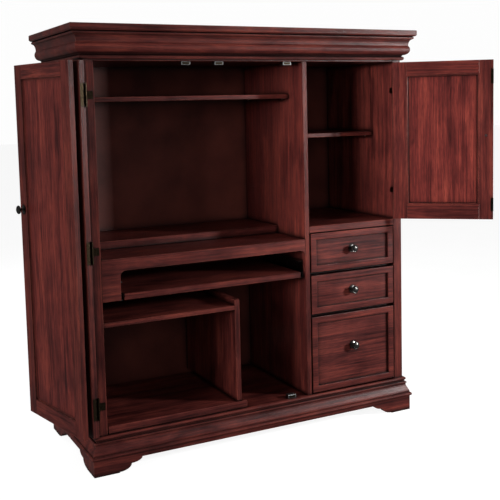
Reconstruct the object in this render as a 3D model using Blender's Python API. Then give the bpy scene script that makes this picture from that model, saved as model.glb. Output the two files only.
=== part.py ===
"""Computer armoire: a wide desk bay behind a pair of folding doors, a narrow column with a cupboard and
three drawers, sliding trays for a keyboard and a printer, a stepped cornice and a plinth on bracket feet.

Metres, +Z up. While it is being built the carcass is centred on X, its front face lies at y = 0 and
y grows towards the back. Doors are drawn closed and then turned about their pivots. At the end
everything is moved so that the open object's box is centred over the origin, standing on z = 0.
"""

import math

import bmesh
import bpy
from mathutils import Matrix, Vector

# ---- driving dimensions ----
HALF_WIDTH = 0.648  # carcass, from its middle to the outside of a side
DEPTH = 0.531  # carcass, front to back
HEIGHT = 1.547
SIDE_T = 0.0385
BOARD_T = 0.0192
GAP = 0.0003  # left between touching pieces
EDGE = 0.0012  # broken edge on every board

PLINTH_TOP = 0.1355
CORNICE_FOOT = 1.4315
CEILING = 1.4255  # underside of the board above both bays
FLOOR = 0.1355  # top of the board in the desk bay, level with the plinth
FLOOR_T = 0.025
DESK_TOP = 0.750
BACK_Y = 0.4975  # front face of the back panel
BACK_T = 0.008
PORT_W = 0.100
PORT_H = 0.060
# middles of the ports: beside the screen, in the lower left bay, behind the computer
CABLE_PORTS = ((-0.545, 0.850), (-0.545, 0.240), (0.015, 0.240))

DIVIDER_X = 0.196  # left face of the upright between the two bays
CUPBOARD_FLOOR_TOP = 0.797
CUPBOARD_FLOOR_T = 0.025

# desk bay
UPPER_SHELF_TOP = 1.3055
UPPER_SHELF_FRONT = 0.1075
PLATFORM_TOP = 0.780
PLATFORM_FRONT = 0.2155
APRON_FOOT = 0.707
APRON_LEG_W = 0.067
APRON_LEG_FOOT = 0.6035
APRON_ROUND = 0.021
WORKTOP_T = 0.025
PRINTER_SHELF_TOP = 0.528
PRINTER_SHELF_T = 0.0165
PARTITION_X = -0.105
PARTITION_TOP = 0.5497
PARTITION_FOOT = 0.1635  # the printer tray slides under it
LOWER_FRONT = 0.009  # front of the printer shelf and the partition

# keyboard tray
TRAY_X = (-0.5305, 0.1745)
TRAY_TOP = 0.6245
TRAY_T = 0.022
TRAY_FRONT = 0.001
TRAY_DEPTH = 0.400
SLIDE_Z = (0.598, 0.664)
SLIDE_W = 0.0113

# printer tray
PRINTER_TRAY_X = (-0.6075, -0.0660)
PRINTER_TRAY_Z = (0.1365, 0.1630)
PRINTER_TRAY_DEPTH = 0.440

# right column
CUPBOARD_SHELF_TOP = 1.148
CUPBOARD_SHELF_T = 0.016
CUPBOARD_SHELF_FRONT = 0.142
DUST_T = 0.009
DUST_FRONT = 0.013
DRAWER_X = (0.2205, 0.6070)
DRAWER_FRONT_T = 0.0195
DRAWERS = (  # underside and top of the front, top of the box, height of the knob
    (0.6165, 0.7685, 0.745, 0.6945),
    (0.4515, 0.6040, 0.582, 0.5300),
    (0.1385, 0.4400, 0.405, 0.3040),
)
DRAWER_FRAME_W = 0.026
DRAWER_RECESS = 0.009
DRAWER_ROUND = 0.003  # on the edge of the frame round the recess
BOX_WALL = 0.0115
BOX_DEPTH = 0.425
BOX_SIDE_GAP = 0.012

# doors
LEAF_T = 0.020
LEAF_GAP = 0.0022  # between a closed leaf and the carcass, for the hinge plates
LEAF_Z = (0.1390, 1.4275)
LEAF_A_X = (-0.640, -0.2165)
LEAF_B_X = (-0.2135, 0.2035)
STILE_W = 0.060
TOP_RAIL_W = 0.057
BOTTOM_RAIL_W = 0.063
MOULD = 0.006  # width and depth of the quarter round beside a panel
PANEL_T = 0.0065
PANEL_LAP = 0.007
RIGHT_DOOR_X = (0.2185, 0.6065)
RIGHT_DOOR_Z = (0.8005, 1.4222)

LEAF_A_PIVOT = Vector((LEAF_A_X[0] - 0.0045, -LEAF_GAP - LEAF_T, 0))
FOLD_PIVOT = Vector(((LEAF_A_X[1] + LEAF_B_X[0]) / 2, -LEAF_GAP + 0.004, 0))
RIGHT_PIVOT = Vector((0.6082, -0.0042, 0))
LEAF_A_OPEN = math.radians(-257)  # from closed, seen from above
FOLD_OPEN = math.radians(178.8)
RIGHT_OPEN = math.radians(139)

LEAF_HINGES = (1.312, 0.781, 0.240)
FOLD_HINGES = (1.250, 0.300)
RIGHT_HINGES = (1.312, 0.915)
HINGE_HALF = 0.038
PLATE_T = 0.0014
THIN_PLATE_T = 0.0009  # of the hinges let in at the right door
LEAF_KNUCKLE_R = 0.0031
FOLD_KNUCKLE_R = 0.0028
RIGHT_KNUCKLE_R = 0.0030
KNUCKLE_SIDES = 12
FOLD_HINGE_HALF = 0.030
FIXED_PLATE_END = -0.6150  # of the leaf hinges, on the front edge of the side
LEAF_KNOB_Z = 0.905
RIGHT_KNOB_Z = 1.130
KNOB_INSET = 0.028  # from the edge of the door

CATCHES = (-0.274, -0.146, 0.133)

INNER_X = HALF_WIDTH - SIDE_T
DIVIDER_RIGHT = DIVIDER_X + BOARD_T
BAY_LEFT = (-INNER_X + GAP, DIVIDER_X - GAP)
BAY_RIGHT = (DIVIDER_RIGHT + GAP, INNER_X - GAP)


# ---- materials ----
def material(name, colour, roughness, metallic=0.0):
    made = bpy.data.materials.new(name)
    made.use_nodes = True
    shader = made.node_tree.nodes["Principled BSDF"]
    shader.inputs["Base Color"].default_value = (*colour, 1)
    shader.inputs["Roughness"].default_value = roughness
    shader.inputs["Metallic"].default_value = metallic
    return made


def clear_scene():
    for obj in list(bpy.data.objects):
        bpy.data.objects.remove(obj, do_unlink=True)


clear_scene()
WOOD = material("cherry_wood", (0.085, 0.022, 0.018), 0.35)
INSIDE = material("cherry_wood_inside", (0.060, 0.018, 0.014), 0.50)
PANEL = material("cherry_panel", (0.105, 0.030, 0.028), 0.38)
BACKING = material("back_panel_board", (0.045, 0.014, 0.012), 0.60)
PEWTER = material("dark_pewter", (0.110, 0.100, 0.090), 0.30, 1.0)
BRONZE = material("dark_bronze", (0.120, 0.085, 0.050), 0.35, 1.0)
STEEL = material("zinc_steel", (0.450, 0.450, 0.460), 0.35, 1.0)


# ---- bodies: a pivot and the empty that the body's pieces hang from ----
class Body:
    def __init__(self, name, pivot, turn=0.0, parent=None):
        self.pivot = pivot
        self.empty = bpy.data.objects.new(name, None)
        bpy.context.collection.objects.link(self.empty)
        self.empty.location = pivot - parent.pivot if parent else pivot
        self.empty.rotation_euler = (0, 0, turn)
        if parent:
            self.empty.parent = parent.empty


# ---- building blocks ----
def add(name, bm, mat, body=None, smooth=False):
    """One object from a bmesh drawn in closed-door coordinates."""
    bmesh.ops.recalc_face_normals(bm, faces=bm.faces)
    if body:
        bmesh.ops.transform(bm, matrix=Matrix.Translation(-body.pivot), verts=bm.verts)
    mesh = bpy.data.meshes.new(name)
    bm.to_mesh(mesh)
    bm.free()
    mesh.materials.append(mat)
    if smooth:
        mesh.shade_smooth()
        mesh.set_sharp_from_angle(angle=math.radians(38))
    obj = bpy.data.objects.new(name, mesh)
    bpy.context.collection.objects.link(obj)
    if body:
        obj.parent = body.empty
    return obj


def soften(obj, width=EDGE):
    bevel = obj.modifiers.new("edges", "BEVEL")
    bevel.width = width
    bevel.segments = 1
    bevel.limit_method = "ANGLE"
    bevel.angle_limit = math.radians(40)
    return obj


def skin(bm, rings, closed=False, caps=True):
    """Quads between rings of vertices; caps fill the first and last ring."""
    count = len(rings[0])
    runs = len(rings) if closed else len(rings) - 1
    for i in range(runs):
        here = rings[i]
        there = rings[(i + 1) % len(rings)]
        for j in range(count):
            k = (j + 1) % count
            bm.faces.new((here[j], here[k], there[k], there[j]))
    if caps and not closed:
        bm.faces.new(rings[0])
        bm.faces.new(rings[-1])


def box(name, x, y, z, mat, body=None, edge=EDGE):
    bm = bmesh.new()
    rings = [[bm.verts.new((px, py, h)) for px, py in rectangle(x, y)] for h in z]
    skin(bm, rings)
    obj = add(name, bm, mat, body)
    return soften(obj, edge) if edge else obj


def rectangle(x, y):
    return ((x[0], y[0]), (x[1], y[0]), (x[1], y[1]), (x[0], y[1]))


def prism(name, outline, axis, span, mat, body=None, smooth=False):
    """An outline drawn in the plane across an axis, drawn out along that axis."""
    order = {"x": lambda u, v, w: (w, u, v), "y": lambda u, v, w: (u, w, v), "z": lambda u, v, w: (u, v, w)}
    bm = bmesh.new()
    rings = [[bm.verts.new(order[axis](u, v, w)) for u, v in outline] for w in span]
    skin(bm, rings)
    return add(name, bm, mat, body, smooth)


def arc(centre, radius, start, end, steps):
    """Points on an arc from one angle to another, in degrees."""
    points = []
    for i in range(steps + 1):
        angle = math.radians(start + (end - start) * i / steps)
        points.append((centre[0] + radius * math.cos(angle), centre[1] + radius * math.sin(angle)))
    return points


def wrapped(name, profile, mat):
    """A moulding around the left side, the front and the right side, mitred at the front corners."""
    corners = (
        ((-HALF_WIDTH, DEPTH), (-1, 0)),
        ((-HALF_WIDTH, 0), (-1, -1)),
        ((HALF_WIDTH, 0), (1, -1)),
        ((HALF_WIDTH, DEPTH), (1, 0)),
    )
    bm = bmesh.new()
    rings = []
    for (x, y), (dx, dy) in corners:
        rings.append([bm.verts.new((x + dx * out, y + dy * out, z)) for out, z in profile])
    skin(bm, rings)
    return add(name, bm, mat, smooth=True)


def turned(bm, profile, centre, direction, segments=20):
    """A round solid about a line: profile is (radius, distance along the line), and starts and ends at 0."""
    along = Vector(direction)
    across = along.orthogonal().normalized()
    other = along.cross(across)
    first = bm.verts.new(Vector(centre) + along * profile[0][1])
    last = bm.verts.new(Vector(centre) + along * profile[-1][1])
    rings = []
    for radius, height in profile[1:-1]:
        ring = []
        for i in range(segments):
            angle = 2 * math.pi * i / segments
            spoke = across * math.cos(angle) + other * math.sin(angle)
            ring.append(bm.verts.new(Vector(centre) + along * height + spoke * radius))
        rings.append(ring)
    skin(bm, rings, caps=False)
    for j in range(segments):
        k = (j + 1) % segments
        bm.faces.new((first, rings[0][k], rings[0][j]))
        bm.faces.new((last, rings[-1][j], rings[-1][k]))


def helper(obj):
    obj.hide_render = True
    obj.display_type = "WIRE"
    return obj


def combine(obj, operation, other):
    boolean = obj.modifiers.new(operation.lower(), "BOOLEAN")
    boolean.operation = operation
    boolean.object = helper(other)


# ---- carcass ----
def build_carcass():
    side_z = (0.046, HEIGHT - BOARD_T - GAP)
    box("left_side", (-HALF_WIDTH, -INNER_X), (0, DEPTH), side_z, WOOD)
    box("right_side", (INNER_X, HALF_WIDTH), (0, DEPTH), side_z, WOOD)
    box("top_board", (-HALF_WIDTH, HALF_WIDTH), (0, DEPTH), (HEIGHT - BOARD_T, HEIGHT), WOOD)
    inside = (-INNER_X + GAP, INNER_X - GAP)
    box("ceiling_board", inside, (0, BACK_Y - GAP), (CEILING, CEILING + BOARD_T), INSIDE)
    upright_z = (FLOOR - FLOOR_T, CEILING - GAP)
    box("centre_divider", (DIVIDER_X, DIVIDER_RIGHT), (0, BACK_Y - GAP), upright_z, WOOD)
    box("bottom_board", BAY_LEFT, (0, BACK_Y - GAP), (FLOOR - FLOOR_T, FLOOR), WOOD)
    floor_z = (FLOOR - FLOOR_T, DRAWERS[2][0] - 0.003)
    box("drawer_bay_floor", BAY_RIGHT, (DRAWER_FRONT_T + 0.002, BACK_Y - GAP), floor_z, INSIDE)
    build_back_panel(inside)


def rounded(x, z, radius, steps=3):
    """A rectangle with round corners, counterclockwise from its lower right."""
    points = []
    corners = ((x[1], z[0], -90), (x[1], z[1], 0), (x[0], z[1], 90), (x[0], z[0], 180))
    for cx, cz, start in corners:
        centre = (cx - radius if cx == x[1] else cx + radius, cz - radius if cz == z[1] else cz + radius)
        points += arc(centre, radius, start, start + 90, steps)
    return points


def build_back_panel(inside):
    """A thin board let in between the sides, with a cable port in each bay of the desk."""
    tall = (FLOOR - FLOOR_T, HEIGHT - BOARD_T - GAP)
    back = box("back_panel", inside, (BACK_Y, BACK_Y + BACK_T), tall, BACKING, edge=0)
    for i, (x, z) in enumerate(CABLE_PORTS):
        port_x = (x - PORT_W / 2, x + PORT_W / 2)
        port_z = (z - PORT_H / 2, z + PORT_H / 2)
        outline = rounded(port_x, port_z, PORT_H / 2 - 0.002)
        cutter = prism(f"port_cutter_{i}", outline, "y", (BACK_Y - 0.02, BACK_Y + 0.03), BACKING)
        combine(back, "DIFFERENCE", cutter)


def cornice_profile():
    """Distance out from the carcass, and height, up the outer face and back down the inner one."""
    foot = CORNICE_FOOT
    top = HEIGHT
    points = [(GAP, foot)]
    points += arc((0.0040, foot + 0.0075), 0.0075, -90, 90, 6)
    points += arc((0.0075, foot + 0.0415), 0.0215, -90, 38, 9)
    cove_foot = foot + 0.0565
    for i in range(7):
        t = math.pi / 2 * i / 6
        points.append((0.0235 + 0.0115 * (1 - math.cos(t)), cove_foot + 0.0245 * math.sin(t)))
    points += arc((0.0350, foot + 0.0865), 0.0050, -90, 90, 5)
    points += [(0.0435, foot + 0.0930), (0.0480, foot + 0.0975), (0.0480, top - 0.0015), (0.0465, top)]
    points.append((GAP, top))
    return points


def plinth_profile():
    points = [(GAP, 0), (0.0205, 0), (0.0215, 0.001)]
    points += arc((0.0215, 0.0655), 0.0070, -90, 90, 6)
    for i in range(9):
        t = i / 8
        points.append((0.0155 + 0.0060 * math.cos(math.pi * t), 0.0735 + 0.0345 * t))
    points += arc((0.0085, 0.1130), 0.0045, -90, 90, 5)
    points.append((0.0058, 0.1180))
    points.append((0.0058, 0.1225))
    points += arc((0.0040, 0.1290), 0.0065, -90, 90, 6)
    points.append((GAP, PLINTH_TOP))
    return points


def arch(low, high):
    """The opening between two bracket feet whose flat soles end at low and high: two lobes at each end."""
    lobes = ((0.0015, 0.003, 0.0437, 0.0233), (0.0452, 0.0263, 0.0400, 0.0167))
    rise = [(0, -0.01), (0, 0)]
    for start, foot, run, lift in lobes:
        for i in range(7):
            t = math.pi / 2 * i / 6
            rise.append((start + run * math.sin(t), foot + lift * (1 - math.cos(t))))
    left = [(low + u, z) for u, z in rise]
    right = [(high - u, z) for u, z in reversed(rise)]
    return left + right


def build_trim():
    wrapped("cornice", cornice_profile(), WOOD)
    plinth = wrapped("plinth", plinth_profile(), WOOD)
    sole = 0.0905
    face = 0.0215
    front_end = HALF_WIDTH + face - sole
    front = prism("front_arch_cutter", arch(-front_end, front_end), "y", (-0.10, 0.05), WOOD)
    side_outline = arch(-face + sole, DEPTH - sole)
    side = prism("side_arch_cutter", side_outline, "x", (-HALF_WIDTH - 0.1, HALF_WIDTH + 0.1), WOOD)
    combine(plinth, "DIFFERENCE", front)
    combine(plinth, "DIFFERENCE", side)


# ---- desk bay ----
def build_desk_bay():
    back = BACK_Y - GAP
    box("upper_shelf", BAY_LEFT, (UPPER_SHELF_FRONT, back), (UPPER_SHELF_TOP - 0.0165, UPPER_SHELF_TOP), WOOD)
    box("monitor_platform", BAY_LEFT, (PLATFORM_FRONT, back), (DESK_TOP + GAP, PLATFORM_TOP), WOOD)
    box("worktop", BAY_LEFT, (BOARD_T + GAP, back), (DESK_TOP - WORKTOP_T, DESK_TOP), WOOD)
    build_apron()
    shelf_x = (BAY_LEFT[0], PARTITION_X - GAP)
    shelf_z = (PRINTER_SHELF_TOP - PRINTER_SHELF_T, PRINTER_SHELF_TOP)
    box("printer_shelf", shelf_x, (LOWER_FRONT, back), shelf_z, WOOD)
    partition_x = (PARTITION_X, PARTITION_X + BOARD_T)
    box("lower_partition", partition_x, (LOWER_FRONT, back), (PARTITION_FOOT, PARTITION_TOP), WOOD)


def build_apron():
    """The front of the desk: a rail with a broad leg at the left and a rounded lug against the divider."""
    left, right = BAY_LEFT
    leg = left + APRON_LEG_W
    r = APRON_ROUND
    outline = [(left, DESK_TOP), (left, APRON_LEG_FOOT), (leg, APRON_LEG_FOOT)]
    outline += arc((leg + r, APRON_FOOT - r), r, 180, 90, 6)
    outline += arc((right - 0.001 - r, APRON_FOOT - r), r, 90, 0, 6)
    outline += [(right, APRON_FOOT - r), (right, DESK_TOP)]
    soften(prism("worktop_apron", outline, "y", (0, BOARD_T), WOOD))


def channel(low, high, z, open_to_right):
    """A C-shaped section in x and z."""
    wall = 0.0016
    flat, lips = (low, high) if open_to_right else (high, low)
    inner = flat + wall if open_to_right else flat - wall
    points = [(flat, z[0]), (lips, z[0]), (lips, z[0] + wall), (inner, z[0] + wall)]
    points += [(inner, z[1] - wall), (lips, z[1] - wall), (lips, z[1]), (flat, z[1])]
    return points


def build_tray_and_slides():
    hanger_right = TRAY_X[0] - GAP - SLIDE_W - GAP
    hanger_x = (hanger_right - 0.016, hanger_right)
    hanger_y = (BOARD_T + GAP, TRAY_DEPTH)
    box("tray_hanger", hanger_x, hanger_y, (APRON_LEG_FOOT, DESK_TOP - WORKTOP_T - GAP), INSIDE)
    slide_y = (BOARD_T + GAP, 0.385)
    left = channel(hanger_right + GAP, TRAY_X[0] - GAP, SLIDE_Z, True)
    prism("tray_slide_left", left, "y", slide_y, STEEL)
    right = channel(TRAY_X[1] + GAP, BAY_LEFT[1], SLIDE_Z, False)
    prism("tray_slide_right", right, "y", slide_y, STEEL)
    tray = Body("tray_pivot", Vector((sum(TRAY_X) / 2, TRAY_FRONT, TRAY_TOP)))
    span = (TRAY_FRONT, TRAY_FRONT + TRAY_DEPTH)
    box("keyboard_tray", TRAY_X, span, (TRAY_TOP - TRAY_T, TRAY_TOP), WOOD, tray, edge=0.002)


def build_printer_tray():
    tray = Body("printer_tray_pivot", Vector((sum(PRINTER_TRAY_X) / 2, TRAY_FRONT, PRINTER_TRAY_Z[1])))
    span = (TRAY_FRONT, TRAY_FRONT + PRINTER_TRAY_DEPTH)
    box("printer_tray", PRINTER_TRAY_X, span, PRINTER_TRAY_Z, WOOD, tray, edge=0.002)


# ---- right column ----
def build_right_column():
    back = BACK_Y - GAP
    floor_z = (CUPBOARD_FLOOR_TOP - CUPBOARD_FLOOR_T, CUPBOARD_FLOOR_TOP)
    box("cupboard_floor", BAY_RIGHT, (0, back), floor_z, WOOD)
    shelf_z = (CUPBOARD_SHELF_TOP - CUPBOARD_SHELF_T, CUPBOARD_SHELF_TOP)
    box("cupboard_shelf", BAY_RIGHT, (CUPBOARD_SHELF_FRONT, back), shelf_z, WOOD)
    for name, drawer in (("dust_panel_upper", DRAWERS[0]), ("dust_panel_lower", DRAWERS[1])):
        top = drawer[0] - 0.0016
        box(name, BAY_RIGHT, (DUST_FRONT + DRAWER_FRONT_T - 0.012, back), (top - DUST_T, top), INSIDE)


def drawer_front_levels():
    """Inset from the outline and depth behind the face, from the back edge over the frame to the recess."""
    levels = [(0.0, DRAWER_FRONT_T), (0.0, 0.0025), (0.0008, 0.0008), (0.0025, 0.0)]
    for i in range(6):
        t = math.pi / 2 * i / 5
        inset = DRAWER_FRAME_W - DRAWER_ROUND * (1 - math.sin(t))
        levels.append((inset, DRAWER_ROUND * (1 - math.cos(t))))
    levels.append((DRAWER_FRAME_W, DRAWER_RECESS))
    levels.append((DRAWER_FRAME_W + 0.001, DRAWER_RECESS))
    return levels


def build_drawer(number, foot, top, box_top, knob_z):
    pivot = Vector((sum(DRAWER_X) / 2, 0, (foot + top) / 2))
    body = Body(f"drawer_{number}_pivot", pivot)
    bm = bmesh.new()
    rings = []
    for inset, y in drawer_front_levels():
        x = (DRAWER_X[0] + inset, DRAWER_X[1] - inset)
        z = (foot + inset, top - inset)
        rings.append([bm.verts.new((px, y, pz)) for px, pz in rectangle(x, z)])
    skin(bm, rings)
    add(f"drawer_{number}_front", bm, WOOD, body)
    build_drawer_box(number, body, foot, box_top)
    knob(f"drawer_{number}_knob", (pivot.x, DRAWER_RECESS - GAP, knob_z), (0, -1, 0), body)


def build_drawer_box(number, body, foot, box_top):
    """An open box: down the outside from the rim, under it, and up the inside to the drawer's own floor."""
    x = (DRAWER_X[0] + BOX_SIDE_GAP, DRAWER_X[1] - BOX_SIDE_GAP)
    y = (DRAWER_FRONT_T + GAP, DRAWER_FRONT_T + BOX_DEPTH)
    base = foot - 0.0010
    bm = bmesh.new()
    rings = []
    for inset, z in ((0, base), (0, box_top), (BOX_WALL, box_top), (BOX_WALL, base + 0.007)):
        plan = rectangle((x[0] + inset, x[1] - inset), (y[0] + inset, y[1] - inset))
        rings.append([bm.verts.new((px, py, z)) for px, py in plan])
    skin(bm, rings)
    add(f"drawer_{number}_box", bm, INSIDE, body)


# ---- hardware ----
def knob_profile():
    """Backplate, neck and mushroom head: radius, distance from the face it is screwed to."""
    points = [(0, 0), (0.0135, 0), (0.0135, 0.0015), (0.0118, 0.0030), (0.0070, 0.0036)]
    points += [(0.0055, 0.0080), (0.0056, 0.0120), (0.0080, 0.0150)]
    points += [(0.0135, 0.0170), (0.0158, 0.0190), (0.0162, 0.0210), (0.0152, 0.0235)]
    points += [(0.0120, 0.0258), (0.0070, 0.0272), (0, 0.0278)]
    return points


def knob(name, centre, direction, body):
    bm = bmesh.new()
    turned(bm, knob_profile(), centre, direction)
    add(name, bm, PEWTER, body, smooth=True)


def cylinder(name, pivot, radius, z, body):
    last = KNUCKLE_SIDES - 1
    outline = arc((pivot.x, pivot.y), radius, 0, 360 * last / KNUCKLE_SIDES, last)
    return prism(name, outline, "z", z, BRONZE, body)


def knuckles(obj, name, pivot, radius, spans, body):
    for i, z in enumerate(spans):
        combine(obj, "UNION", cylinder(f"{name}_knuckle_{i}", pivot, radius, z, body))


def thirds(middle, half):
    """The outer pair and the middle knuckle of a hinge, with running gaps between them."""
    third = half / 3
    outer = ((middle - half, middle - third - GAP), (middle + third + GAP, middle + half))
    return outer, ((middle - third, middle + third),)


def notch(name, x, y, span, body):
    """A cutter that makes room in one hinge plate for the middle knuckle of the other half."""
    return box(name, x, y, (span[0] - GAP, span[1] + GAP), BRONZE, body, edge=0)


def build_leaf_hinge(number, middle, leaf):
    """A wrap hinge: one plate on the front edge of the side, one on the edge of the leaf."""
    pivot = LEAF_A_PIVOT
    outer, centre = thirds(middle, HINGE_HALF)
    arm_x = (pivot.x + 0.0002, pivot.x + 0.0002 + PLATE_T)
    plate_end = -LEAF_GAP + 0.0004
    fixed = [(arm_x[0], pivot.y), (arm_x[1], pivot.y), (arm_x[1], plate_end)]
    fixed += [(FIXED_PLATE_END, plate_end), (FIXED_PLATE_END, -GAP), (arm_x[0], -GAP)]
    obj = prism(f"left_hinge_{number}_wing", fixed, "z", centre[0], BRONZE)
    knuckles(obj, f"left_hinge_{number}", pivot, LEAF_KNUCKLE_R, centre, None)
    plate_x = (LEAF_A_X[0] - GAP - PLATE_T, LEAF_A_X[0] - GAP)
    plate_y = (pivot.y - 0.0005, -LEAF_GAP - 0.0010)
    wing_z = (outer[0][0], outer[1][1])
    wing = box(f"leaf_a_hinge_{number}_wing", plate_x, plate_y, wing_z, BRONZE, leaf, edge=0)
    notch_x = (plate_x[0] - 0.002, plate_x[0] + 0.0003)
    notch_y = (pivot.y - 0.004, pivot.y + 0.0038)
    combine(wing, "DIFFERENCE", notch(f"leaf_notch_{number}", notch_x, notch_y, centre[0], leaf))
    knuckles(wing, f"leaf_a_hinge_{number}", pivot, LEAF_KNUCKLE_R, outer, leaf)


def build_fold_hinge(number, middle, leaf_a, leaf_b):
    """A butt hinge across the inner faces of the two leaves."""
    pivot = FOLD_PIVOT
    outer, centre = thirds(middle, FOLD_HINGE_HALF)
    plate_y = (-LEAF_GAP + GAP, -LEAF_GAP + GAP + PLATE_T)
    reach = 0.024
    radius = FOLD_KNUCKLE_R
    a_x = (pivot.x - reach, pivot.x - 0.0006)
    b_x = (pivot.x + 0.0006, pivot.x + reach)
    a_wing = box(f"fold_hinge_{number}_wing_a", a_x, plate_y, centre[0], BRONZE, leaf_a, edge=0)
    knuckles(a_wing, f"fold_a_{number}", pivot, radius, centre, leaf_a)
    wing_z = (outer[0][0], outer[1][1])
    b_wing = box(f"fold_hinge_{number}_wing_b", b_x, plate_y, wing_z, BRONZE, leaf_b, edge=0)
    notch_x = (pivot.x - 0.004, pivot.x + 0.0042)
    notch_y = (plate_y[0] - 0.001, plate_y[1] + 0.002)
    combine(b_wing, "DIFFERENCE", notch(f"fold_notch_{number}", notch_x, notch_y, centre[0], leaf_b))
    knuckles(b_wing, f"fold_b_{number}", pivot, radius, outer, leaf_b)


def build_right_hinge(number, middle, door):
    """A butt hinge between the door's edge and the side."""
    pivot = RIGHT_PIVOT
    outer, centre = thirds(middle, FOLD_HINGE_HALF)
    radius = RIGHT_KNUCKLE_R
    side_x = (INNER_X - GAP - THIN_PLATE_T, INNER_X - GAP)
    door_x = (RIGHT_DOOR_X[1] + GAP, RIGHT_DOOR_X[1] + GAP + THIN_PLATE_T)
    deep = 0.018
    plate_y = (pivot.y + 0.0005, deep)
    fixed = box(f"right_hinge_{number}_wing", side_x, plate_y, centre[0], BRONZE, edge=0)
    knuckles(fixed, f"right_hinge_{number}", pivot, radius, centre, None)
    wing_z = (outer[0][0], outer[1][1])
    wing = box(f"right_door_hinge_{number}_wing", door_x, plate_y, wing_z, BRONZE, door, edge=0)
    notch_x = (door_x[0] - 0.002, door_x[1] + 0.002)
    notch_y = (pivot.y - 0.002, pivot.y + radius + 0.0006)
    combine(wing, "DIFFERENCE", notch(f"right_notch_{number}", notch_x, notch_y, centre[0], door))
    knuckles(wing, f"right_door_hinge_{number}", pivot, radius, outer, door)


def build_catches():
    for i, x in enumerate(CATCHES):
        z = (CEILING - GAP - 0.013, CEILING - GAP)
        box(f"magnetic_catch_{i + 1}", (x - 0.018, x + 0.018), (0.003, 0.028), z, STEEL)


# ---- doors ----
def build_panelled(name, x, z, front, body):
    """A door: a mitred frame with a quarter round and a groove inside it, and the flat panel it holds."""
    back = front + LEAF_T
    face = front + MOULD
    groove = (face, face + PANEL_T + 2 * GAP)
    levels = [("outer", EDGE, front), ("inner", MOULD, front)]
    for i in range(1, 6):
        t = math.pi / 2 * i / 5
        levels.append(("inner", MOULD * math.cos(t), front + MOULD * math.sin(t)))
    levels += [("inner", PANEL_LAP, groove[0]), ("inner", PANEL_LAP, groove[1]), ("inner", 0, groove[1])]
    levels += [("inner", 0, back - 0.002), ("inner", 0.002, back)]
    levels += [("outer", EDGE, back), ("outer", 0, back - EDGE), ("outer", 0, front + EDGE)]
    bm = bmesh.new()
    rings = []
    for edge, away, y in levels:
        if edge == "outer":
            span_x = (x[0] + away, x[1] - away)
            span_z = (z[0] + away, z[1] - away)
        else:
            span_x = (x[0] + STILE_W - away, x[1] - STILE_W + away)
            span_z = (z[0] + BOTTOM_RAIL_W - away, z[1] - TOP_RAIL_W + away)
        rings.append([bm.verts.new((px, y, pz)) for px, pz in rectangle(span_x, span_z)])
    skin(bm, rings, closed=True)
    add(f"{name}_frame", bm, WOOD, body)
    lap = PANEL_LAP - 0.001
    panel_x = (x[0] + STILE_W - lap, x[1] - STILE_W + lap)
    panel_z = (z[0] + BOTTOM_RAIL_W - lap, z[1] - TOP_RAIL_W + lap)
    box(f"{name}_panel", panel_x, (groove[0] + GAP, groove[1] - GAP), panel_z, PANEL, body, edge=0)


def build_left_doors():
    front = -LEAF_GAP - LEAF_T
    leaf_a = Body("leaf_a_pivot", LEAF_A_PIVOT, LEAF_A_OPEN)
    leaf_b = Body("leaf_b_pivot", FOLD_PIVOT, FOLD_OPEN, leaf_a)
    build_panelled("leaf_a", LEAF_A_X, LEAF_Z, front, leaf_a)
    build_panelled("leaf_b", LEAF_B_X, LEAF_Z, front, leaf_b)
    knob("leaf_a_knob", (LEAF_A_X[1] - KNOB_INSET, front - GAP, LEAF_KNOB_Z), (0, -1, 0), leaf_a)
    knob("leaf_b_knob", (LEAF_B_X[0] + KNOB_INSET, front - GAP, LEAF_KNOB_Z), (0, -1, 0), leaf_b)
    for i, z in enumerate(LEAF_HINGES):
        build_leaf_hinge(i + 1, z, leaf_a)
    for i, z in enumerate(FOLD_HINGES):
        build_fold_hinge(i + 1, z, leaf_a, leaf_b)


def build_right_door():
    door = Body("right_door_pivot", RIGHT_PIVOT, RIGHT_OPEN)
    build_panelled("right_door", RIGHT_DOOR_X, RIGHT_DOOR_Z, 0.0, door)
    knob("right_door_knob", (RIGHT_DOOR_X[0] + KNOB_INSET, -GAP, RIGHT_KNOB_Z), (0, -1, 0), door)
    for i, z in enumerate(RIGHT_HINGES):
        build_right_hinge(i + 1, z, door)


# ---- placing ----
def centre_over_origin():
    """Moves everything so that the object, doors open, is centred over the origin."""
    bpy.context.view_layer.update()
    graph = bpy.context.evaluated_depsgraph_get()
    low = [math.inf, math.inf]
    high = [-math.inf, -math.inf]
    for obj in bpy.data.objects:
        if obj.type != "MESH" or obj.hide_render:
            continue
        solid = obj.evaluated_get(graph)
        for vertex in solid.data.vertices:
            at = solid.matrix_world @ vertex.co
            for axis in range(2):
                low[axis] = min(low[axis], at[axis])
                high[axis] = max(high[axis], at[axis])
    shift = Vector((-(low[0] + high[0]) / 2, -(low[1] + high[1]) / 2, 0))
    for obj in bpy.data.objects:
        if obj.parent is None:
            obj.location += shift
    bpy.context.view_layer.update()


build_carcass()
build_trim()
build_desk_bay()
build_tray_and_slides()
build_printer_tray()
build_right_column()
for index, sizes in enumerate(DRAWERS):
    build_drawer(index + 1, *sizes)
build_left_doors()
build_right_door()
build_catches()
centre_over_origin()
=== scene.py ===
"""The looks of the computer armoire: cherry veneer with edges lightened by wear and a painted highlight,
painted shade in its corners, doors built of stiles, rails and panels, turned pulls, the small hardware, and
the studio around it.

Metres, in the frame of the CAD model, which never moves. An open door stands turned on its hinge, so its
pieces are drawn in axes turned back by that angle ("flat" axes), where the door lies along X.
"""

import math

import bmesh
import bpy
from mathutils import Matrix, Vector


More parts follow.
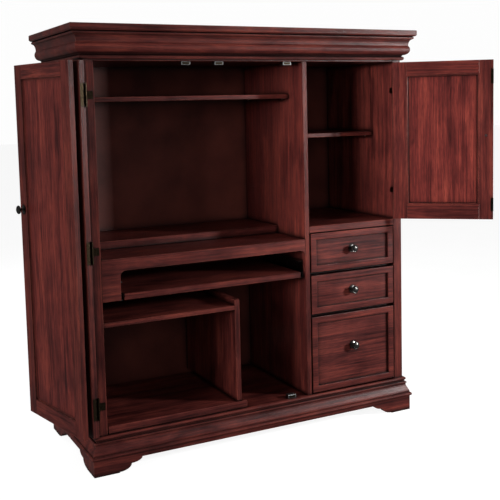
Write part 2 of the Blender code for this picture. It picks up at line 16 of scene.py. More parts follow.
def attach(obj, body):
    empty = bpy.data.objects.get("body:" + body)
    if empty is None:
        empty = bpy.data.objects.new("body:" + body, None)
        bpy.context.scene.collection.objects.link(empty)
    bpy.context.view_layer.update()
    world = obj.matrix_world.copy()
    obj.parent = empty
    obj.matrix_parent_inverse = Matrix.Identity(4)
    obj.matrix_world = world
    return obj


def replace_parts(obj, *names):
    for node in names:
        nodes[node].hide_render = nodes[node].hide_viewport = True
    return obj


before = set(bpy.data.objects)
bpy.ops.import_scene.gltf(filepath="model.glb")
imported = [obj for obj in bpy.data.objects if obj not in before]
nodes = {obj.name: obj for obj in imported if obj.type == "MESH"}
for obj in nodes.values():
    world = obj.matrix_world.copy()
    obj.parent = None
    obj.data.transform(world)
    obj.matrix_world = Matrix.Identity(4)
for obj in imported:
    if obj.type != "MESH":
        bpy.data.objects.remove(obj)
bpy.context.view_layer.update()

# doors
LEAF_A_TURN = math.radians(-257)
LEAF_B_TURN = math.radians(-257 + 178.8)
RIGHT_TURN = math.radians(139)
LEAF_HINGES = (1.312, 0.781, 0.240)  # heights of the hinges' middles
FOLD_HINGES = (1.250, 0.300)
RIGHT_HINGES = (1.312, 0.915)
LEAF_KNOB_HEIGHT = 0.905
RIGHT_KNOB_HEIGHT = 1.130
MOULD = 0.006  # the quarter round beside a door's panel
MOULD_STEPS = 7
MOULD_BACK = 0.0014  # softening of the ring's back edge
PANEL_LAP = 0.006  # how far a panel reaches into its groove
PANEL_PLAY = 0.0004
PANEL_EDGE = 0.0006
SEAM = 0.0002  # a joint between two boards of a door
EDGE = 0.0010  # rounding of a board's edges

# hardware
PIN_CAP = 0.0022  # height of a hinge pin's head
PIN_REACH = 0.0090  # how far a shelf pin stands out
SHELF_PIN_R = 0.0025
HEAD_SUNK = 0.0004  # how deep a screw or nail head sits in the wood
LEAF_SCREW_R = 0.0030
SMALL_SCREW_R = 0.0026
KNOB_SCREW_R = 0.0042
NAIL_R = 0.0028
STRIKE_LEVELS = (1.4105, 1.4245)

# wood colours, from the bottom of the grain to the edge lightened by wear and a painted highlight
WOOD_DARK = (0.024, 0.0050, 0.0050)
WOOD_MIDDLE = (0.084, 0.0165, 0.0140)
WOOD_LIGHT = (0.178, 0.0355, 0.0250)
WOOD_WEAR_AND_HIGHLIGHT = (0.36, 0.135, 0.090)
WOOD_PORES = (0.012, 0.0035, 0.0035)
# painted shade for corners, recesses and the joints between parts
WOOD_PAINTED_SHADE = (0.005, 0.0018, 0.0018)
PANEL_TONE = 1.18  # a door's panel is lighter and redder than its frame
PANEL_RED = 0.010

# studio
FLOOR_GLOW = 0.90
WORLD_LIGHT = 0.10
WORLD_SEEN = 0.985  # the strength that the camera sees behind the cabinet
EYE = (-1.5393, -3.0449, 1.2701)
EYE_YAW, EYE_PITCH, EYE_ROLL = 0.4884, -0.0969, -0.0213
SENSOR = 36
LENS = 63.91
SHIFT = (-0.045, -0.12)


# ---- node materials ----
class Graph:
    """A material with its Principled shader, and short ways to add nodes to it."""

    def __init__(self, name):
        self.made = bpy.data.materials.new(name)
        self.made.use_nodes = True
        self.tree = self.made.node_tree
        self.shader = self.tree.nodes["Principled BSDF"]

    def feed(self, socket, value):
        """A link from a socket, or a constant."""
        if isinstance(value, bpy.types.NodeSocket):
            self.tree.links.new(value, socket)
        else:
            socket.default_value = value

    def node(self, kind, inputs=None, **settings):
        made = self.tree.nodes.new(kind)
        for key, value in settings.items():
            setattr(made, key, value)
        for key, value in (inputs or {}).items():
            self.feed(made.inputs[key], value)
        return made

    def set(self, name, value):
        self.feed(self.shader.inputs[name], value)

    def math(self, operation, a, b=0.0, c=0.0):
        return self.node("ShaderNodeMath", {0: a, 1: b, 2: c}, operation=operation).outputs[0]

    def noise(self, where, scale, detail=3.0, rough=0.55, distort=0.0):
        inputs = {"Vector": where, "Scale": scale, "Detail": detail, "Roughness": rough}
        return self.node("ShaderNodeTexNoise", {**inputs, "Distortion": distort}).outputs["Fac"]

    def span(self, value, low, high, to_low=0.0, to_high=1.0):
        inputs = {"Value": value, "From Min": low, "From Max": high, "To Min": to_low, "To Max": to_high}
        return self.node("ShaderNodeMapRange", inputs, clamp=True).outputs["Result"]

    def mix(self, factor, a, b):
        """Colour a at factor 0, b at factor 1. The colour sockets of the node are number 6 and 7."""
        inputs = {0: factor, 6: a, 7: b}
        made = self.node("ShaderNodeMix", data_type="RGBA", blend_type="MIX", clamp_factor=True)
        for key, value in inputs.items():
            self.feed(made.inputs[key], value)
        return made.outputs[2]

    def ramp(self, value, stops):
        made = self.node("ShaderNodeValToRGB", {"Fac": value})
        points = made.color_ramp.elements
        while len(points) < len(stops):
            points.new(0.5)
        for point, (at, colour) in zip(points, stops):
            point.position = at
            point.color = (*colour, 1)
        return made.outputs["Color"]

    def crevice(self, distance, low, high):
        """0 in a corner, 1 in the open."""
        occlusion = self.node("ShaderNodeAmbientOcclusion", {"Distance": distance}, samples=6)
        return self.span(occlusion.outputs["AO"], low, high)

    def edge(self, radius, low=0.02, high=0.20):
        """1 on an outer or inner edge, 0 on a flat face."""
        rounded = self.node("ShaderNodeBevel", {"Radius": radius}, samples=4)
        plain = self.node("ShaderNodeNewGeometry")
        normals = {0: rounded.outputs[0], 1: plain.outputs["Normal"]}
        dot = self.node("ShaderNodeVectorMath", normals, operation="DOT_PRODUCT")
        return self.span(self.math("SUBTRACT", 1.0, dot.outputs["Value"]), low, high)

    def bump(self, height, strength, distance):
        inputs = {"Height": height, "Strength": strength, "Distance": distance}
        self.set("Normal", self.node("ShaderNodeBump", inputs).outputs["Normal"])


ACROSS = {"x": (0.0, 1.0, 1.0), "y": (1.0, 0.0, 1.0), "z": (1.0, 1.0, 0.0)}
made_woods = {}


def stretched(graph, base, grain, along):
    """Coordinates squeezed along the grain, so that what is drawn on them becomes long streaks."""
    squeeze = [along if part == 0.0 else 1.0 for part in ACROSS[grain]]
    return graph.node("ShaderNodeVectorMath", {0: base, 1: squeeze}, operation="MULTIPLY").outputs[0]


def toned(colour, tone, red=0.0):
    return ((colour[0] + red) * tone, colour[1] * tone, colour[2] * tone)


def wood(grain, turn, tone, seed, red=0.0):
    """Cherry veneer under satin lacquer. The grain runs along x, y or z of the axes turned by turn."""
    key = (grain, round(turn, 3), tone, seed, red)
    if key in made_woods:
        return made_woods[key]
    graph = Graph(f"cherry_{grain}_{len(made_woods) + 1}")
    spot = graph.node("ShaderNodeTexCoord").outputs["Object"]
    mapped = graph.node("ShaderNodeMapping", {"Vector": spot}, vector_type="POINT")
    mapped.inputs["Rotation"].default_value = (0, 0, -turn)
    mapped.inputs["Location"].default_value = (0.37 * seed, 0.61 * seed, 0.83 * seed)
    base = mapped.outputs[0]

    warp = graph.math("MULTIPLY", graph.noise(base, scale=3.0, detail=2.0), 0.10)
    warped = graph.node("ShaderNodeVectorMath", {0: base, 1: warp}, operation="ADD").outputs[0]
    long_figure = stretched(graph, warped, grain, 0.055)
    figure = graph.noise(long_figure, scale=26.0, detail=4.0, rough=0.62, distort=0.35)
    streaks = graph.noise(stretched(graph, base, grain, 0.025), scale=150.0, rough=0.65)
    blotch = graph.noise(base, scale=6.5, rough=0.6)
    pores = graph.noise(stretched(graph, base, grain, 0.035), scale=900.0, detail=2.0, rough=0.5)
    pore_lines = graph.span(pores, 0.48, 0.64)

    value = graph.math("MULTIPLY", figure, 0.38)
    value = graph.math("MULTIPLY_ADD", streaks, 0.40, value)
    value = graph.math("MULTIPLY_ADD", blotch, 0.22, value)
    stops = (
        (0.385, toned(WOOD_DARK, tone)),
        (0.50, toned(WOOD_MIDDLE, tone, red)),
        (0.625, toned(WOOD_LIGHT, tone, red)),
    )
    colour = graph.ramp(value, stops)
    colour = graph.mix(graph.math("MULTIPLY", pore_lines, 0.50), colour, (*WOOD_PORES, 1))
    # edges lightened a little everywhere and more in patches: partly wear, partly a painted highlight of the
    # light that edges catch
    patchy = graph.span(graph.noise(base, scale=45.0), 0.42, 0.66)
    edge_wear_and_highlight = graph.math("MULTIPLY", graph.edge(0.0024), graph.math("MULTIPLY_ADD", patchy, 0.48, 0.06))
    colour = graph.mix(edge_wear_and_highlight, colour, (*toned(WOOD_WEAR_AND_HIGHLIGHT, tone), 1))
    # painted shade: ambient occlusion darkens corners, recesses and joints towards a near-black brown
    colour = graph.mix(graph.crevice(0.020, 0.60, 0.97), (*WOOD_PAINTED_SHADE, 1), colour)
    graph.set("Base Color", colour)

    dull = graph.span(blotch, 0.3, 0.7, 0.30, 0.42)
    graph.set("Roughness", graph.math("MULTIPLY_ADD", pore_lines, 0.12, dull))
    graph.set("Specular IOR Level", 0.17)
    graph.set("Coat Weight", 0.035)
    graph.set("Coat Roughness", 0.18)
    relief = graph.math("MULTIPLY_ADD", streaks, 0.5, graph.math("MULTIPLY", pore_lines, -0.5))
    graph.bump(relief, 0.35, 0.0005)
    made_woods[key] = graph.made
    return graph.made


def metal(name, high, low, rough, patina=0.7):
    """Antiqued metal: bright where it is handled, dark in its hollows, finely pitted."""
    graph = Graph(name)
    spot = graph.node("ShaderNodeTexCoord").outputs["Object"]
    open_face = graph.crevice(0.006, 0.30, 0.90)
    cloud = graph.span(graph.noise(spot, scale=160.0), 0.35, 0.65)
    clean = graph.math("MULTIPLY", open_face, graph.math("MULTIPLY_ADD", cloud, patina, 1.0 - patina))
    graph.set("Base Color", graph.mix(clean, (*low, 1), (*high, 1)))
    graph.set("Metallic", 1.0)
    graph.set("Roughness", graph.span(clean, 0.0, 1.0, rough + 0.22, rough))
    graph.bump(graph.noise(spot, scale=500.0, detail=2.0), 0.12, 0.0003)
    return graph.made


def backing(name):
    """Stained hardboard: a dull dark brown with a faint mottle and pressed fibres."""
    graph = Graph(name)
    spot = graph.node("ShaderNodeTexCoord").outputs["Object"]
    fibres = graph.noise(spot, scale=420.0, detail=4.0, rough=0.7)
    cloud = graph.noise(spot, scale=5.0)
    value = graph.math("MULTIPLY_ADD", fibres, 0.4, graph.math("MULTIPLY", cloud, 0.6))
    colour = graph.ramp(value, ((0.35, (0.055, 0.0140, 0.0115)), (0.65, (0.150, 0.038, 0.028))))
    # painted shade: ambient occlusion darkens the hardboard towards near black where shelves, sides and the
    # upright meet it
    colour = graph.mix(graph.crevice(0.03, 0.3, 0.9), (0.006, 0.003, 0.003, 1), colour)
    graph.set("Base Color", colour)
    graph.set("Roughness", graph.span(fibres, 0.3, 0.7, 0.55, 0.72))
    graph.bump(fibres, 0.25, 0.0004)
    return graph.made


PEWTER = metal("pewter", (0.24, 0.23, 0.22), (0.012, 0.011, 0.010), 0.20, 0.85)
BRONZE = metal("antique_bronze", (0.052, 0.037, 0.022), (0.008, 0.006, 0.004), 0.32)
ZINC = metal("zinc", (0.30, 0.31, 0.31), (0.07, 0.07, 0.07), 0.34, 0.5)
HARDBOARD = backing("stained_hardboard")


# ---- pieces ----
def piece(name, bm, mats, body, turn=0.0, smooth=False):
    """An object from a bmesh drawn in flat axes, riding on its body."""
    bmesh.ops.recalc_face_normals(bm, faces=bm.faces)
    if turn:
        bmesh.ops.transform(bm, matrix=Matrix.Rotation(turn, 4, "Z"), verts=bm.verts)
    mesh = bpy.data.meshes.new(name)
    bm.to_mesh(mesh)
    bm.free()
    for mat in mats:
        mesh.materials.append(mat)
    if smooth:
        mesh.shade_smooth()
        mesh.set_sharp_from_angle(angle=math.radians(35))
    obj = bpy.data.objects.new(name, mesh)
    bpy.context.collection.objects.link(obj)
    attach(obj, body)
    return obj


def rounded_edges(obj, width):
    bevel = obj.modifiers.new("edges", "BEVEL")
    bevel.width = width
    bevel.segments = 2
    bevel.limit_method = "ANGLE"
    bevel.angle_limit = math.radians(35)
    return obj


def skin(bm, rings, caps=True, material=0):
    """Faces between rings of vertices, each ring closed on itself."""
    count = len(rings[0])
    for here, there in zip(rings, rings[1:]):
        for j in range(count):
            k = (j + 1) % count
            face = bm.faces.new((here[j], here[k], there[k], there[j]))
            face.material_index = material
    if caps:
        bm.faces.new(rings[0])
        bm.faces.new(rings[-1])


def boxes(name, spans, mat, body, turn=0.0, edge=0.0003):
    """Several boxes as one piece: each is an x span, a y span and a z span."""
    bm = bmesh.new()
    for x, y, z in spans:
        plan = ((x[0], y[0]), (x[1], y[0]), (x[1], y[1]), (x[0], y[1]))
        skin(bm, [[bm.verts.new((px, py, height)) for px, py in plan] for height in z])
    return rounded_edges(piece(name, bm, [mat], body, turn), edge)


def turned(bm, profile, centre, direction, segments=40):
    """A round solid about a line. The profile is (radius, distance along the line), from 0 to 0."""
    along = Vector(direction).normalized()
    across = along.orthogonal().normalized()
    other = along.cross(across)
    first = bm.verts.new(Vector(centre) + along * profile[0][1])
    last = bm.verts.new(Vector(centre) + along * profile[-1][1])
    rings = []
    for radius, height in profile[1:-1]:
        ring = []
        for i in range(segments):
            angle = 2 * math.pi * i / segments
            spoke = across * math.cos(angle) + other * math.sin(angle)
            ring.append(bm.verts.new(Vector(centre) + along * height + spoke * radius))
        rings.append(ring)
    skin(bm, rings, caps=False)
    for j in range(segments):
        k = (j + 1) % segments
        bm.faces.new((first, rings[0][k], rings[0][j]))
        bm.faces.new((last, rings[-1][j], rings[-1][k]))


def heads(name, spots, direction, radius, mat, body, turn=0.0, height=0.0004):
    """Low domed screw or nail heads that face the same way, as one piece."""
    dome = [(0, -HEAD_SUNK), (radius, -HEAD_SUNK), (radius, height * 0.4), (radius * 0.7, height * 0.8)]
    dome.append((0, height))
    bm = bmesh.new()
    for spot in spots:
        turned(bm, dome, spot, direction, 16)
    return piece(name, bm, [mat], body, turn, smooth=True)


def rods(name, ends, radius, mat, body, turn=0.0):
    """Short round bars with softened ends: each has a start and a finish."""
    bm = bmesh.new()
    for start, finish in ends:
        run = Vector(finish) - Vector(start)
        soft = radius * 0.3
        profile = [(0, 0), (radius - soft, 0), (radius, soft), (radius, run.length - soft)]
        turned(bm, profile + [(radius - soft, run.length), (0, run.length)], start, run, 20)
    return piece(name, bm, [mat], body, turn, smooth=True)


def flat_box(node, turn=0.0):
    """A CAD node's lowest and highest corners in flat axes."""
    back = Matrix.Rotation(-turn, 3, "Z")
    spots = [back @ vertex.co for vertex in nodes[node].data.vertices]
    low = Vector([min(spot[i] for spot in spots) for i in range(3)])
    high = Vector([max(spot[i] for spot in spots) for i in range(3)])
    return low, high


# ---- panelled doors ----
class Swing:
    """A hinged body: where its pivot stands, and how far it is turned. Offsets are along the closed door."""

    def __init__(self, body, turn, pivot):
        self.body = body
        self.turn = turn
        self.pivot = Matrix.Rotation(-turn, 3, "Z") @ Vector((*pivot, 0))

    def at(self, along, back, height):
        return Vector((self.pivot.x + along, self.pivot.y + back, height))

    def span(self, along, back):
        across = (self.pivot.x + along[0], self.pivot.x + along[1])
        return (across, (self.pivot.y + back[0], self.pivot.y + back[1]))


LEAF_A = Swing("left_door_leaf_a", LEAF_A_TURN, (-0.692037, -0.149029))
LEAF_B = Swing("left_door_leaf_b", LEAF_B_TURN, (-0.812038, 0.264065))
RIGHT = Swing("right_door", RIGHT_TURN, (0.560663, -0.131029))


def sticking(name, x, y, z, door, seed):
    """The ring inside a door's frame: a quarter round, the groove that holds the panel, and a square back."""
    front, back = y
    profile = [(-MOULD, front + 0.0005), (-MOULD + 0.0007, front)]
    for i in range(1, MOULD_STEPS + 1):
        angle = math.pi / 2 * i / MOULD_STEPS
        profile.append((-MOULD * math.cos(angle), front + MOULD * math.sin(angle)))
    profile += [(0.0, back - 0.0020), (-0.0004, back - 0.0008), (-MOULD_BACK, back), (-MOULD, back)]
    bm = bmesh.new()
    corners = ((x[0], z[0], 1, 1), (x[1], z[0], -1, 1), (x[1], z[1], -1, -1), (x[0], z[1], 1, -1))
    for side in range(4):
        rings = []
        for cx, cz, dx, dz in (corners[side], corners[(side + 1) % 4]):
            rings.append([bm.verts.new((cx + dx * inward, py, cz + dz * inward)) for inward, py in profile])
        skin(bm, rings, caps=False, material=side % 2)
    bmesh.ops.remove_doubles(bm, verts=bm.verts, dist=0.00001)
    woods = [wood("x", door.turn, 1.0, seed + 2), wood("z", door.turn, 1.0, seed)]
    return piece(name, bm, woods, door.body, door.turn, smooth=True)


def panelled_door(name, door, seed, tone=1.0):
    """Two stiles, two rails, the ring inside them and the panel, in place of the frame and the panel."""
    frame_node = f"{name}_frame"
    panel_node = f"{name}_panel"
    low, high = flat_box(frame_node, door.turn)
    panel_low, panel_high = flat_box(panel_node, door.turn)
    sight_x = (panel_low.x + PANEL_LAP, panel_high.x - PANEL_LAP)
    sight_z = (panel_low.z + PANEL_LAP, panel_high.z - PANEL_LAP)
    deep = (low.y, high.y)
    tall = (low.z, high.z)
    stile_left = (low.x, sight_x[0] - MOULD)
    stile_right = (sight_x[1] + MOULD, high.x)
    between = (stile_left[1] + SEAM, stile_right[0] - SEAM)
    boards = (
        ("stile_left", stile_left, tall, "z"),
        ("stile_right", stile_right, tall, "z"),
        ("rail_bottom", between, (low.z, sight_z[0] - MOULD), "x"),
        ("rail_top", between, (sight_z[1] + MOULD, high.z), "x"),
    )
    for extra, (label, x, z, grain) in enumerate(boards):
        mat = wood(grain, door.turn, tone, seed + extra)
        made = boxes(f"{name}_{label}", [(x, deep, z)], mat, door.body, door.turn, EDGE)
        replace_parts(made, frame_node)
    ring_y = (low.y + 0.0001, high.y - 0.0001)
    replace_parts(sticking(f"{name}_sticking", sight_x, ring_y, sight_z, door, seed), frame_node)
    mat = wood("z", door.turn, PANEL_TONE * tone, seed + 4, PANEL_RED)
    panel_x = (panel_low.x + PANEL_PLAY, panel_high.x - PANEL_PLAY)
    panel_y = (panel_low.y, panel_high.y)
    panel_z = (panel_low.z + PANEL_PLAY, panel_high.z - PANEL_PLAY)
    field = [(panel_x, panel_y, panel_z)]
    made = boxes(f"{name}_field", field, mat, door.body, door.turn, PANEL_EDGE)
    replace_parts(made, panel_node)


# ---- pulls ----
def pull_profile():
    """Backplate with a beaded rim, a waisted neck and a domed head with a ring turned into it."""
    bead = 0.0008
    points = [(0, 0), (0.0146, 0), (0.0148, 0.0008)]
    for t in range(0, 11, 2):
        points.append((0.0142 + bead * math.cos(t / 4), 0.0016 + bead * math.sin(t / 4)))
    points += [(0.0118, 0.0022), (0.0106, 0.0030), (0.0072, 0.0037), (0.0058, 0.0056)]
    points += [(0.0050, 0.0090), (0.0052, 0.0120), (0.0070, 0.0146), (0.0108, 0.0160)]
    points += [(0.0142, 0.0172), (0.0157, 0.0188), (0.0160, 0.0205), (0.0154, 0.0222)]
    points += [(0.0142, 0.0236), (0.0126, 0.0246), (0.0119, 0.0244), (0.0112, 0.0247)]
    points += [(0.0095, 0.0262), (0.0070, 0.0272), (0.0035, 0.0277), (0, 0.0278)]
    return points


def pull(node, body, turn=0.0):
    """A turned pull in place of the plain one, standing where its back meets the face."""
    low, high = flat_box(node, turn)
    centre = ((low.x + high.x) / 2, high.y, (low.z + high.z) / 2)
    bm = bmesh.new()
    turned(bm, pull_profile(), centre, (0, -1, 0))
    made = piece(f"{node}_turned", bm, [PEWTER], body, turn, smooth=True)
    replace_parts(made, node)


# ---- hardware beside the CAD's hinge plates, catches and slides ----
def pin_caps(name, door, middles, half, radius):
    """Both ends of every hinge pin, over and under the knuckles of the door that has the outer ones."""
    ends = []
    for middle in middles:
        ends.append((door.at(0, 0, middle + half), door.at(0, 0, middle + half + PIN_CAP)))
        ends.append((door.at(0, 0, middle - half), door.at(0, 0, middle - half - PIN_CAP)))
    rods(name, ends, radius, BRONZE, door.body, door.turn)


def pairs(middles, away):
    """The heights of two screws, one under and one over the middle of each hinge."""
    return [middle + step for middle in middles for step in (-away, away)]


def hinge_screws():
    """Two screws in each plate. Those of a middle knuckle's plate stand close, the others far apart."""
    spots = [(-0.6735, -0.1286, z) for z in pairs(LEAF_HINGES, 0.0065)]
    heads("left_hinge_screws", spots, (0, -1, 0), LEAF_SCREW_R, BRONZE, "carcass", height=0.0003)
    spots = [LEAF_A.at(0.0028, 0.0105, z) for z in pairs(LEAF_HINGES, 0.0255)]
    heads("leaf_a_hinge_screws", spots, (-1, 0, 0), LEAF_SCREW_R, BRONZE, LEAF_A.body, LEAF_A.turn)
    spots = [LEAF_A.at(0.4155, 0.0217, z) for z in pairs(FOLD_HINGES, 0.0055)]
    heads("fold_screws_a", spots, (0, 1, 0), SMALL_SCREW_R, BRONZE, LEAF_A.body, LEAF_A.turn)
    spots = [LEAF_B.at(0.0140, -0.0023, z) for z in pairs(FOLD_HINGES, 0.0200)]
    heads("fold_screws_b", spots, (0, 1, 0), SMALL_SCREW_R, BRONZE, LEAF_B.body, LEAF_B.turn)
    spots = [(0.5608, -0.1158, z) for z in pairs(RIGHT_HINGES, 0.0055)]
    heads("right_hinge_screws", spots, (-1, 0, 0), SMALL_SCREW_R, BRONZE, "carcass", height=0.0002)
    spots = [RIGHT.at(-0.0005, 0.0142, z) for z in pairs(RIGHT_HINGES, 0.0200)]
    heads("right_door_hinge_screws", spots, (1, 0, 0), SMALL_SCREW_R, BRONZE, RIGHT.body, RIGHT.turn,
          height=0.0002)


def knob_screws():
    """The head of the screw that holds each door's pull, on the inner face."""
    for name, door, along, back, height in (
        ("leaf_a_knob_screw", LEAF_A, 0.4000, 0.0200, LEAF_KNOB_HEIGHT),
        ("leaf_b_knob_screw", LEAF_B, 0.0295, -0.0040, LEAF_KNOB_HEIGHT),
        ("right_door_knob_screw", RIGHT, -0.3617, 0.0242, RIGHT_KNOB_HEIGHT),
    ):
        spots = [door.at(along, back, height)]
        heads(name, spots, (0, 1, 0), KNOB_SCREW_R, ZINC, door.body, door.turn, 0.0012)


def strike_plates():
    """Bent plates on the free edge of the right door, and the plates that the catches hold on the leaves."""
    face = RIGHT.span((-0.3905, -0.3807), (0.0242, 0.0250))
    edge = RIGHT.span((-0.3905, -0.3897), (0.0060, 0.0250))
    for name, z in (("upper", (1.331, 1.387)), ("lower", (0.8335, 0.885))):
        inside = (z[0] + SEAM, z[1] - SEAM)
        boxes(f"right_door_plate_{name}", [(*face, z)], BRONZE, RIGHT.body, RIGHT.turn)
        boxes(f"right_door_plate_{name}_edge", [(*edge, inside)], BRONZE, RIGHT.body, RIGHT.turn)
    at_a = [(*LEAF_A.span((0.3600, 0.3810), (0.0200, 0.0206)), STRIKE_LEVELS)]
    at_b = [(*LEAF_B.span(along, (-0.0040, -0.0034)), STRIKE_LEVELS)
            for along in ((0.0585, 0.0795), (0.3375, 0.3585))]
    boxes("leaf_a_strike", at_a, ZINC, LEAF_A.body, LEAF_A.turn)
    boxes("leaf_b_strikes", at_b, ZINC, LEAF_B.body, LEAF_B.turn)


def catches():
    """The magnets in the catches under the ceiling board, and the catch on the floor beside the upright."""
    half_catch = 0.018
    half_magnet = 0.013
    middles = [flat_box(f"magnetic_catch_{number}")[0].x + half_catch for number in (1, 2, 3)]
    deep, tall = (-0.1246, -0.1239), (1.4148, 1.4226)
    magnets = [((x - half_magnet, x + half_magnet), deep, tall) for x in middles]
    boxes("catch_magnets", magnets, BRONZE, "carcass")
    case = ((0.0625, 0.0985), (-0.1230, -0.1010), (0.1358, 0.1490))
    boxes("floor_catch", [case], ZINC, "carcass", edge=0.0015)
    magnet = ((0.0675, 0.0935), (-0.1240, -0.1231), (0.1385, 0.1465))
    boxes("floor_catch_magnet", [magnet], BRONZE, "carcass")


def shelf_pins():
    """Round pins in the sides, under the two loose shelves: x at both sides, height, and two depths."""
    ends = []
    for left, right, height, depths in (
        (-0.6570, 0.1485, 1.2863, (0.0232, 0.3232)),
        (0.1677, 0.5620, 1.1293, (0.0632, 0.3232)),
    ):
        for y in depths:
            ends.append(((left, y, height), (left + PIN_REACH, y, height)))
            ends.append(((right, y, height), (right - PIN_REACH, y, height)))
    rods("shelf_pins", ends, SHELF_PIN_R, ZINC, "carcass")


def tray_rails():
    """The inner members of the tray's slides, screwed to its edges. The right one is wider."""
    left_width, right_width = 0.0085, 0.0185
    deep, tall = (-0.0958, 0.2500), (0.6065, 0.6185)
    low, high = flat_box("keyboard_tray")
    spans = [((low.x - left_width, low.x), deep, tall), ((high.x, high.x + right_width), deep, tall)]
    boxes("tray_rails", spans, ZINC, "keyboard_tray")


def back_nails():
    """Nail heads round the edge of the back panel and down the upright."""
    upright = 0.158
    side_inset, end_inset = 0.008, 0.012
    rows, columns = 9, 8
    low, high = flat_box("back_panel")
    spots = []
    for i in range(rows):
        z = low.z + end_inset + (high.z - low.z - 2 * end_inset) * i / (rows - 1)
        spots += [(x, high.y, z) for x in (low.x + side_inset, upright, high.x - side_inset)]
    for i in range(1, columns):
        x = low.x + (high.x - low.x) * i / columns
        spots += [(x, high.y, z) for z in (low.z + end_inset, high.z - end_inset)]
    heads("back_nails", spots, (0, 1, 0), NAIL_R, ZINC, "carcass")


# ---- materials of the CAD nodes that stay ----
def paint(node, mat):
    nodes[node].data.materials.clear()
    nodes[node].data.materials.append(mat)


def finish_nodes():
    """Every board that stays gets its own veneer: the way the grain runs, how light it is (some with painted
    shade), and a seed.
    """
    veneers = {
        "printer_tray": ("x", 1.05, 38),
        "left_side": ("z", 1.0, 11),
        "right_side": ("z", 1.0, 12),
        "top_board": ("x", 1.0, 13),
        # painted shade: the cornice is darker because the light falls off towards the top
        "cornice": ("x", 0.85, 14),
        "plinth": ("x", 1.0, 15),
        "centre_divider": ("z", 0.95, 16),
        "bottom_board": ("x", 1.0, 17),
        "upper_shelf": ("x", 1.0, 18),
        "monitor_platform": ("x", 1.05, 19),
        "worktop": ("x", 1.0, 20),
        "worktop_apron": ("x", 1.0, 21),
        "printer_shelf": ("x", 1.0, 22),
        "lower_partition": ("z", 0.95, 23),
        "cupboard_floor": ("x", 1.0, 24),
        "cupboard_shelf": ("x", 1.0, 25),
        "keyboard_tray": ("x", 1.0, 26),
        # painted shade: these inner boards, down to the dust panels, are darker because they stand in shade
        "ceiling_board": ("x", 0.8, 27),
        "drawer_bay_floor": ("x", 0.8, 28),
        "tray_hanger": ("y", 0.8, 29),
        "dust_panel_upper": ("x", 0.8, 30),
        "dust_panel_lower": ("x", 0.8, 31),
        "drawer_1_front": ("x", 1.08, 32),
        "drawer_2_front": ("x", 1.08, 33),
        "drawer_3_front": ("x", 1.08, 34),
        # painted shade: the drawer boxes are darker because they stand inside the carcass
        "drawer_1_box": ("y", 0.9, 35),
        "drawer_2_box": ("y", 0.9, 36),
        "drawer_3_box": ("y", 0.9, 37),
    }
    for name, (grain, tone, seed) in veneers.items():
        paint(name, wood(grain, 0.0, tone, seed))
    paint("back_panel", HARDBOARD)
    for name in nodes:
        if "hinge" in name:
            paint(name, BRONZE)
        if name.startswith(("tray_slide", "magnetic_catch")):
            paint(name, ZINC)


# ---- studio ----
def floor():
    """A pale floor that glows a little, so that it stays white up to the foot of the cabinet."""
    bpy.ops.mesh.primitive_plane_add(size=60, location=(0, 0, -0.0005))
    made = bpy.context.object
    made.name = "studio_floor"
    graph = Graph("pale_floor")
    spot = graph.node("ShaderNodeTexCoord").outputs["Object"]
    tone = graph.span(graph.noise(spot, scale=3.0, detail=2.0), 0.3, 0.7, 0.24, 0.27)
    graph.set("Base Color", graph.node("ShaderNodeCombineColor", {0: tone, 1: tone, 2: tone}).outputs[0])
    graph.set("Roughness", 0.9)
    graph.set("Emission Color", (1, 1, 1, 1))
    graph.set("Emission Strength", FLOOR_GLOW)
    made.data.materials.append(graph.made)
    made.visible_diffuse = False
    made.visible_glossy = False


def backdrop():
    """White behind the cabinet, but only faint as a light."""
    world = bpy.data.worlds.new("studio")
    bpy.context.scene.world = world
    world.use_nodes = True
    sky = world.node_tree
    shade = sky.nodes["Background"]
    shade.inputs["Color"].default_value = (1, 1, 1, 1)
    seen = sky.nodes.new("ShaderNodeLightPath").outputs["Is Camera Ray"]
    strength = sky.nodes.new("ShaderNodeMapRange")
    strength.inputs["To Min"].default_value = WORLD_LIGHT
    strength.inputs["To Max"].default_value = WORLD_SEEN
    sky.links.new(seen, strength.inputs["Value"])
    sky.links.new(strength.outputs[0], shade.inputs["Strength"])


def softbox(name, spot, target, size, watts, glossy=False):
    """A rectangular light. Only the key is seen in the lacquer: the others would lay a haze on it."""
    light = bpy.data.lights.new(name, "AREA")
    light.shape = "RECTANGLE"
    light.size, light.size_y = size
    light.energy = watts
    obj = bpy.data.objects.new(name, light)
    bpy.context.collection.objects.link(obj)
    obj.location = spot
    obj.rotation_euler = (Vector(target) - Vector(spot)).to_track_quat("-Z", "Y").to_euler()
    obj.visible_glossy = glossy
    return obj


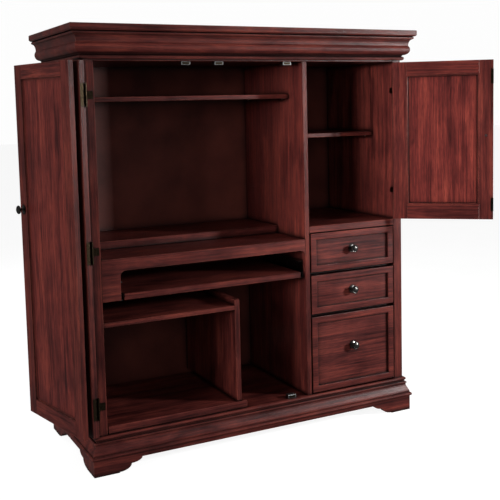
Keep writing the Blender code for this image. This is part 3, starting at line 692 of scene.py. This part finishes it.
def lights():
    """A hard key from the right, a broad fill from the far left, and a narrow light on the right door."""
    softbox("key", (2.8, -2.15, 1.35), (0.0, 0.0, 0.75), (0.30, 0.30), 144, glossy=True)
    softbox("fill", (-6.9, -1.9, 2.0), (0.0, 0.0, 0.8), (2.2, 2.2), 350)
    side = softbox("side", (-2.6, -1.9, 1.5), (0.74, -0.33, 1.12), (0.5, 0.5), 4.6)
    side.data.spread = math.radians(34)
    softbox("front", (-2.0, -4.4, 1.7), (0.0, 0.0, 0.8), (1.5, 1.2), 26)
    softbox("rear", (-1.5, 3.2, 2.4), (0.0, 0.3, 0.8), (2.5, 1.6), 40)


def camera():
    """At the height of the upper shelf, 28 degrees round to the left, with a slight roll."""
    eye = bpy.data.cameras.new("camera")
    eye.sensor_width = SENSOR
    eye.lens = LENS
    eye.shift_x, eye.shift_y = SHIFT
    level = math.cos(EYE_PITCH)
    ahead = Vector((math.sin(EYE_YAW) * level, math.cos(EYE_YAW) * level, math.sin(EYE_PITCH)))
    right = Vector((math.cos(EYE_YAW), -math.sin(EYE_YAW), 0))
    up = right.cross(ahead)
    side = right * math.cos(EYE_ROLL) + up * math.sin(EYE_ROLL)
    crown = -right * math.sin(EYE_ROLL) + up * math.cos(EYE_ROLL)
    obj = bpy.data.objects.new("camera", eye)
    bpy.context.collection.objects.link(obj)
    turn = Matrix((side, crown, -ahead)).transposed().to_4x4()
    obj.matrix_world = Matrix.Translation(EYE) @ turn
    bpy.context.scene.camera = obj


finish_nodes()
panelled_door("leaf_a", LEAF_A, 40)
panelled_door("leaf_b", LEAF_B, 50)
panelled_door("right_door", RIGHT, 60, 1.05)
pull("leaf_a_knob", LEAF_A.body, LEAF_A.turn)
pull("leaf_b_knob", LEAF_B.body, LEAF_B.turn)
pull("right_door_knob", RIGHT.body, RIGHT.turn)
for number in (1, 2, 3):
    pull(f"drawer_{number}_knob", f"drawer_{number}")
pin_caps("leaf_hinge_pins", LEAF_A, LEAF_HINGES, half=0.038, radius=0.0024)
pin_caps("fold_hinge_pins", LEAF_B, FOLD_HINGES, half=0.030, radius=0.0021)
pin_caps("right_hinge_pins", RIGHT, RIGHT_HINGES, half=0.030, radius=0.0023)
hinge_screws()
knob_screws()
strike_plates()
catches()
shelf_pins()
tray_rails()
back_nails()
floor()
backdrop()
lights()
camera()
bpy.context.scene.view_settings.view_transform = "Standard"
bpy.context.scene.cycles.use_denoising = True
